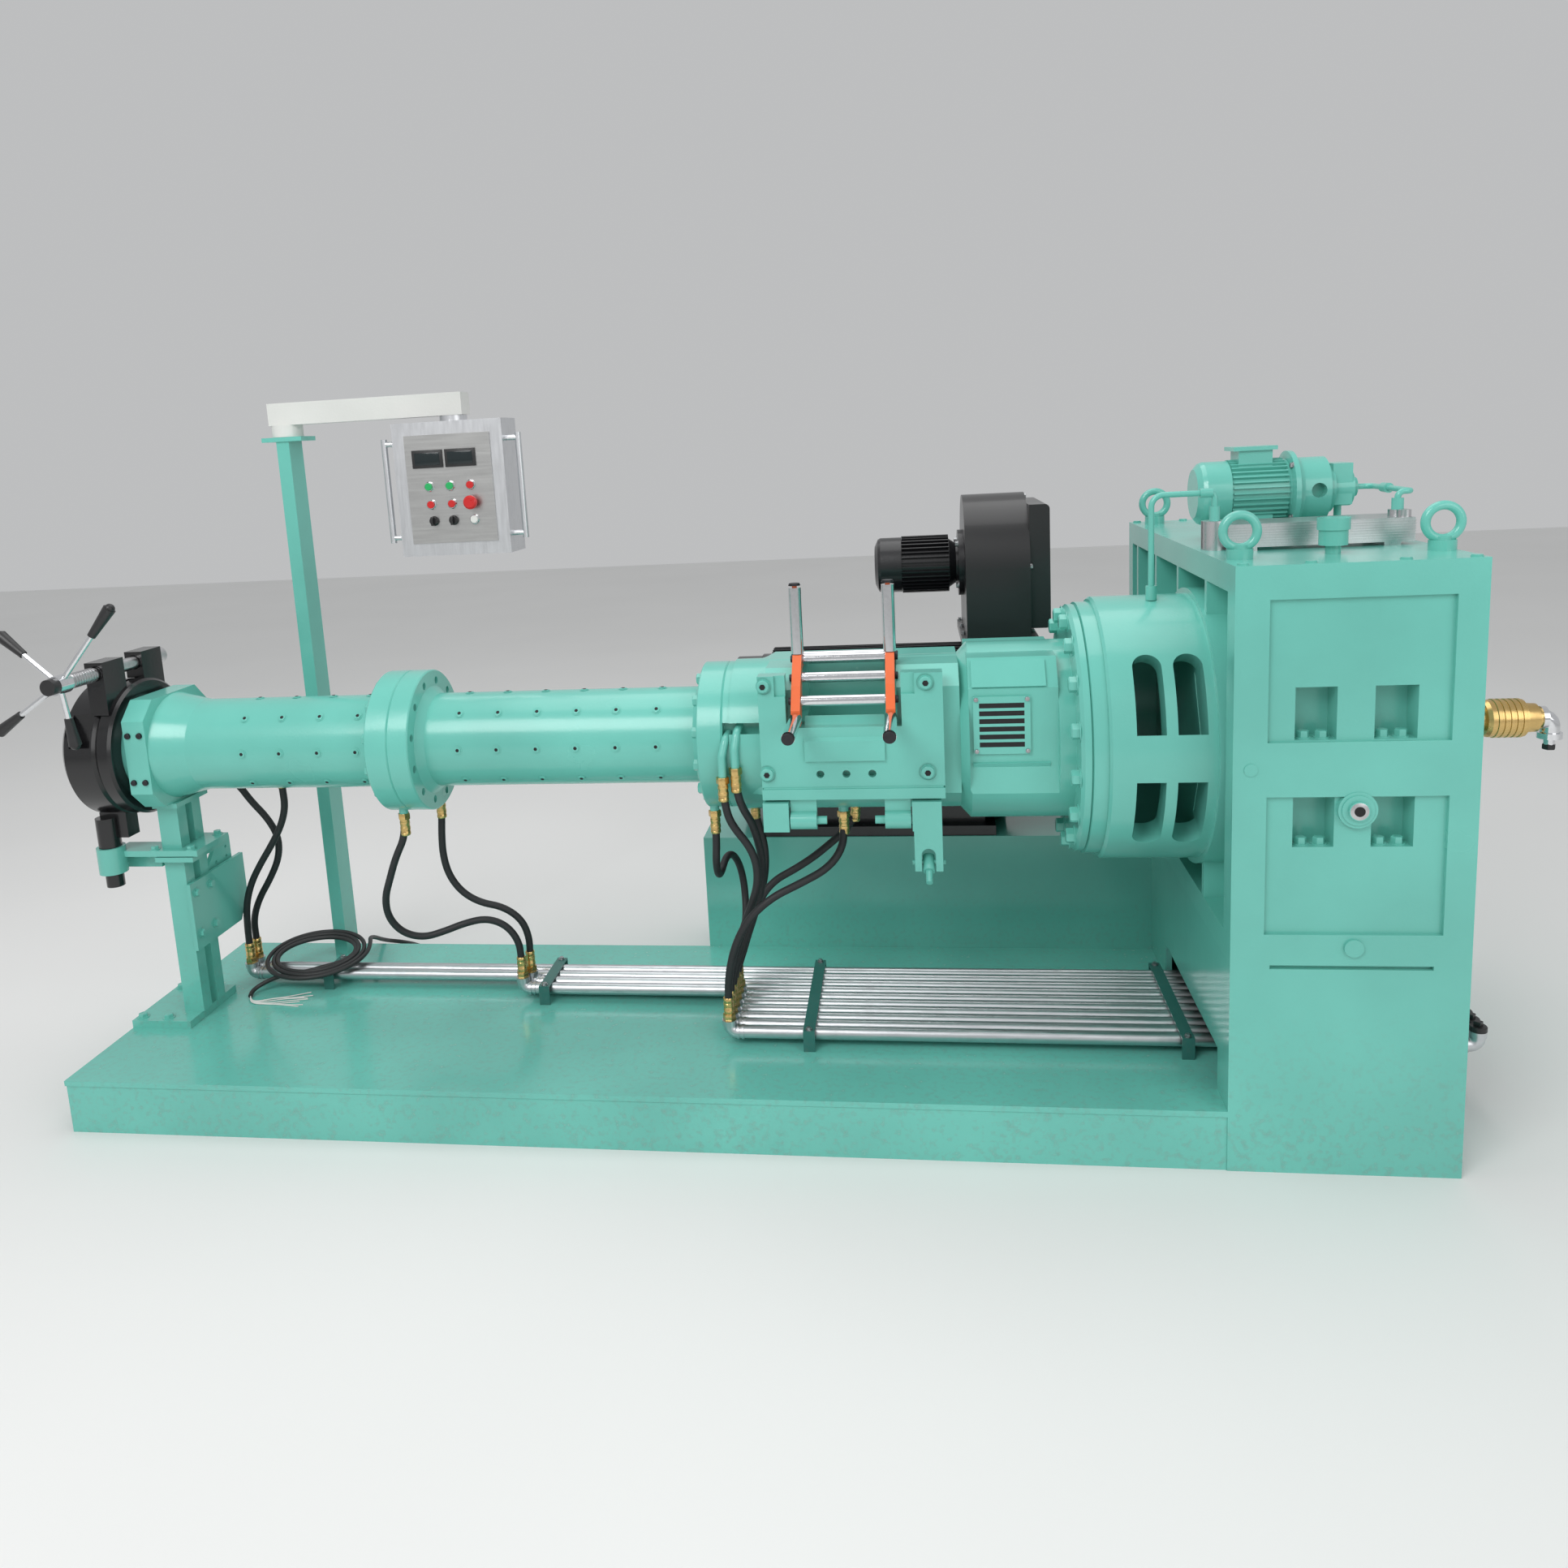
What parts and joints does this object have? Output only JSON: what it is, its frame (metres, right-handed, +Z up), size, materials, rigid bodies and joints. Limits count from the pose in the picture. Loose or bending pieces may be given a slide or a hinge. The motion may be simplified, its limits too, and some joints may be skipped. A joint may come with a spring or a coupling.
{
  "type": "cold feed rubber extruder",
  "caption": "Stationary screw extruder for rubber with long flanged barrel, quick-opening head, side-fed hopper, gearbox, bedplate and swinging control panel.",
  "frame": {"origin": "on the floor plane under the middle of the bedplate, straight below the screw axis", "axes": "+X along the screw from the head to the gearbox, +Y away from the operator's side, +Z up"},
  "size_m": [3.914, 1.431, 1.885],
  "materials": {
    "aluminium": "anodised",
    "black_paint": "semi-gloss black enamel",
    "black_plastic": "moulded",
    "brass": "machined",
    "bright_steel": "machined",
    "cable_sheath": "matt",
    "chrome": "polished",
    "clamp_green": "dark green enamel",
    "galvanized": "zinc coated, slightly worn",
    "hose_rubber": "matt",
    "motor_black": "satin black enamel",
    "orange_paint": "satin",
    "sheet_black": "satin sheet metal",
    "stainless": "brushed",
    "teal_paint": "glossy machine enamel",
    "white_coat": "powder coated"
  },
  "bodies": {
    "machine": {"adapter_drum": "teal_paint", "adapter_flange": "teal_paint", "barrel_front": "teal_paint", "barrel_rear": "teal_paint", "base_frame": "teal_paint", "blower_housing": "sheet_black", "blower_motor": "motor_black", "breather": "teal_paint", "cable_coil": "cable_sheath", "cable_lead": "cable_sheath", "cable_tail": "cable_sheath", "column": "teal_paint", "column_saddle": "teal_paint", "control_post": "teal_paint", "eye_bolts": "teal_paint", "feed_housing": "teal_paint", "gearbox_base": "teal_paint", "gearbox_housing": "teal_paint", "guide_frame": "orange_paint", "head_body": "black_paint", "head_clamp": "black_paint", "hinge_bracket": "teal_paint", "hinge_pin": "black_paint", "hose_column_left": "hose_rubber", "hose_column_right": "hose_rubber", "hose_door": "hose_rubber", "hose_flange": "hose_rubber", "hose_housing_left": "hose_rubber", "hose_housing_right": "hose_rubber", "hose_middle_left": "hose_rubber", "hose_middle_right": "hose_rubber", "hose_shoulder_left": "hose_rubber", "hose_shoulder_right": "hose_rubber", "lube_motor": "teal_paint", "lube_pump": "teal_paint", "main_motor": "motor_black", "motor_pedestal": "teal_paint", "oil_pipe": "teal_paint", "pipe_clamps": "clamp_green", "plate_cooler": "teal_paint", "rotary_elbow": "bright_steel", "rotary_joint": "brass", "vent_cover": "sheet_black", "water_pipes": "galvanized"},
    "feed_door": {"feed_door": "teal_paint"},
    "capstan": {"clamp_spindle": "black_paint", "capstan": "chrome", "capstan_grips": "black_plastic"},
    "control_arm": {"control_arm": "white_coat"},
    "control_panel": {"panel_case": "aluminium", "panel_face": "stainless", "panel_handles": "aluminium"},
    "guide_roller_bottom": {"guide_roller_bottom": "chrome"},
    "guide_roller_lower_left": {"guide_roller_lower_left": "chrome"},
    "guide_roller_lower_right": {"guide_roller_lower_right": "chrome"},
    "guide_roller_middle": {"guide_roller_middle": "chrome"},
    "guide_roller_top_back": {"guide_roller_top_back": "chrome"},
    "guide_roller_top_front": {"guide_roller_top_front": "chrome"},
    "guide_roller_upright_left": {"guide_roller_upright_left": "chrome"},
    "guide_roller_upright_right": {"guide_roller_upright_right": "chrome"}
  },
  "joints": [
    {"name": "feed_door_hinge", "type": "hinge", "parent": "machine", "child": "feed_door", "pos_m": [0.37, -0.214, 0.777], "axis": [1, 0, 0], "range_deg": [0, 95]},
    {"name": "capstan_spin", "type": "hinge", "parent": "machine", "child": "capstan", "pos_m": [-1.636, -0.06, 1.18], "axis": [0, 1, 0], "continuous": true},
    {"name": "arm_swivel", "type": "hinge", "parent": "machine", "child": "control_arm", "pos_m": [-1.309, 0.423, 1.7855], "axis": [0, 0, 1], "range_deg": [-170, 170]},
    {"name": "panel_swivel", "type": "hinge", "parent": "control_arm", "child": "control_panel", "pos_m": [-0.785, 0.423, 1.8195], "axis": [0, 0, 1], "range_deg": [-170, 170]},
    {"name": "guide_roller_top_back_spin", "type": "hinge", "parent": "machine", "child": "guide_roller_top_back", "pos_m": [0.364, -0.074, 1.158], "axis": [1, 0, 0], "continuous": true},
    {"name": "guide_roller_top_front_spin", "type": "hinge", "parent": "machine", "child": "guide_roller_top_front", "pos_m": [0.364, -0.104, 1.158], "axis": [1, 0, 0], "continuous": true},
    {"name": "guide_roller_middle_spin", "type": "hinge", "parent": "machine", "child": "guide_roller_middle", "pos_m": [0.364, -0.152, 1.12], "axis": [1, 0, 0], "continuous": true},
    {"name": "guide_roller_bottom_spin", "type": "hinge", "parent": "machine", "child": "guide_roller_bottom", "pos_m": [0.364, -0.2, 1.072], "axis": [1, 0, 0], "continuous": true},
    {"name": "guide_roller_upright_left_spin", "type": "hinge", "parent": "machine", "child": "guide_roller_upright_left", "pos_m": [0.251, -0.115, 1.256], "axis": [0, 0, 1], "continuous": true},
    {"name": "guide_roller_lower_left_spin", "type": "hinge", "parent": "machine", "child": "guide_roller_lower_left", "pos_m": [0.251, -0.331, 1.036], "axis": [0, 1, 0], "continuous": true},
    {"name": "guide_roller_upright_right_spin", "type": "hinge", "parent": "machine", "child": "guide_roller_upright_right", "pos_m": [0.477, -0.115, 1.256], "axis": [0, 0, 1], "continuous": true},
    {"name": "guide_roller_lower_right_spin", "type": "hinge", "parent": "machine", "child": "guide_roller_lower_right", "pos_m": [0.477, -0.331, 1.036], "axis": [0, 1, 0], "continuous": true}
  ]
}
